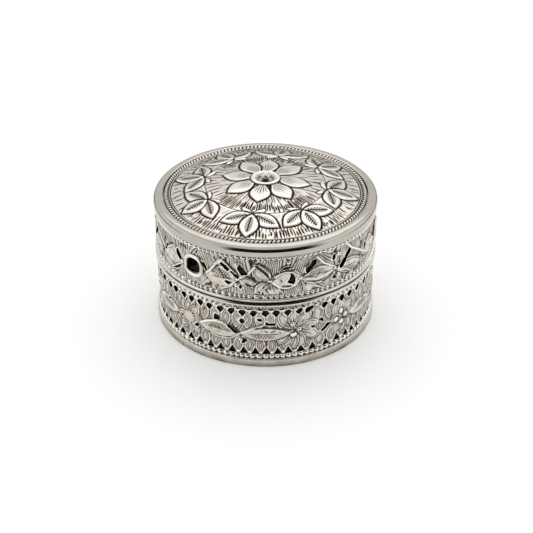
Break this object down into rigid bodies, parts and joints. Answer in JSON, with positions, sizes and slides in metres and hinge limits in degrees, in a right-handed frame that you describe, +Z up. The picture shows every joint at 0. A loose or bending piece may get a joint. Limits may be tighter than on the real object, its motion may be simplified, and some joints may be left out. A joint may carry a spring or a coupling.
{
  "type": "lidded silver box",
  "caption": "Round silver box on a foot ring, with pierced and chased gallery walls, beaded borders and a lift-off lid with a raised rosette on its dome.",
  "frame": {"origin": "centre of the foot's underside, at the middle of the base of the whole box", "axes": "+Z up along the box's axis and the way the lid lifts; -Y towards the side that the picture shows"},
  "size_m": [0.0702, 0.0702, 0.0485],
  "materials": {
    "polished_silver": "polished by hand, with light wear",
    "chased_silver": "chased and pierced, dark in its recesses",
    "silver_wire": "beaded and milled wire, dark between the beads",
    "inside_silver": "satin, dulled by age"
  },
  "bodies": {
    "base": {"foot_ring": "polished_silver", "base_floor": "inside_silver", "base_lower_beading": "silver_wire", "base_wall": "chased_silver", "base_upper_beading": "silver_wire", "base_lip_ring": "polished_silver", "locating_collar": "inside_silver", "base_flower_bud_1": "silver_wire", "base_flower_bud_2": "silver_wire", "base_flower_bud_3": "silver_wire", "base_granule_1": "silver_wire", "base_granule_2": "silver_wire", "base_granule_3": "silver_wire", "base_granule_4": "silver_wire", "base_granule_5": "silver_wire", "base_granule_6": "silver_wire", "base_granule_7": "silver_wire", "base_granule_8": "silver_wire", "base_granule_9": "silver_wire", "base_granule_10": "silver_wire", "base_granule_11": "silver_wire", "base_granule_12": "silver_wire"},
    "lid": {"lid_lip_ring": "polished_silver", "lid_lower_beading": "silver_wire", "lid_wall": "chased_silver", "lid_eye_ring_1": "silver_wire", "lid_eye_ring_2": "silver_wire", "lid_eye_ring_3": "silver_wire", "lid_granule_1": "silver_wire", "lid_granule_2": "silver_wire", "lid_granule_3": "silver_wire", "lid_granule_4": "silver_wire", "lid_granule_5": "silver_wire", "lid_granule_6": "silver_wire", "lid_granule_7": "silver_wire", "lid_granule_8": "silver_wire", "lid_granule_9": "silver_wire", "lid_granule_10": "silver_wire", "lid_granule_11": "silver_wire", "lid_granule_12": "silver_wire", "lid_upper_beading": "silver_wire", "lid_rim": "polished_silver", "lid_dome": "chased_silver", "border_milled_wire": "silver_wire", "border_ring": "silver_wire", "rosette_ring": "polished_silver", "rosette_ball": "polished_silver"}
  },
  "joints": [
    {"name": "lid_lift", "type": "slide", "parent": "base", "child": "lid", "axis": [0, 0, 1], "range_m": [0, 0.03]}
  ]
}
